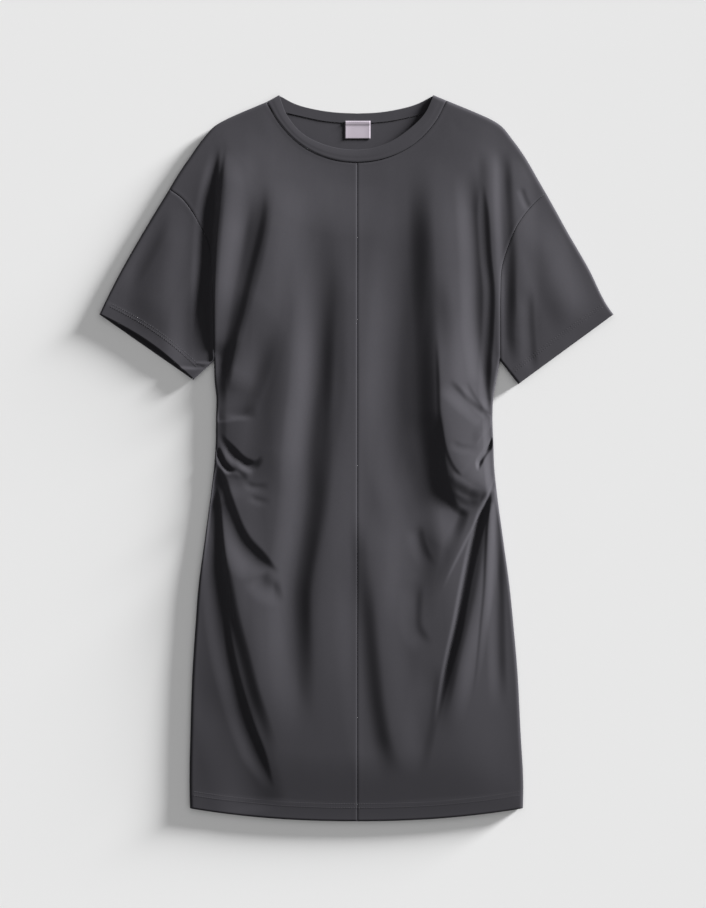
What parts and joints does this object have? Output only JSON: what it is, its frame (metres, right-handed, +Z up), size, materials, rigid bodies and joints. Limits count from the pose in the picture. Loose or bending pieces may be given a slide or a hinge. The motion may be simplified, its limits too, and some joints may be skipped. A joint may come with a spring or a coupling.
{
  "type": "t-shirt dress",
  "caption": "T-shirt dress laid flat, with drop shoulders, short wide sleeves, a ribbed round neckband, a centre front seam and gathered side seams.",
  "frame": {"origin": "middle of the dress's bounding box in plan, on the surface that it lies on", "axes": "+Y from hem to neck, +Z up out of the front of the dress, +X to the right as seen from above"},
  "size_m": [0.641, 0.905, 0.0211],
  "materials": {
    "jersey": "matt fine single jersey, charcoal",
    "rib": "matt self-coloured neckband, folded double",
    "label_tape": "smooth woven tape, pale lilac grey, bare"
  },
  "bodies": {
    "root": {"front_panel_left": "jersey", "front_panel_right": "jersey", "back_panel": "jersey", "sleeve_left": "jersey", "sleeve_right": "jersey", "neckband": "rib", "label": "label_tape"}
  },
  "joints": []
}
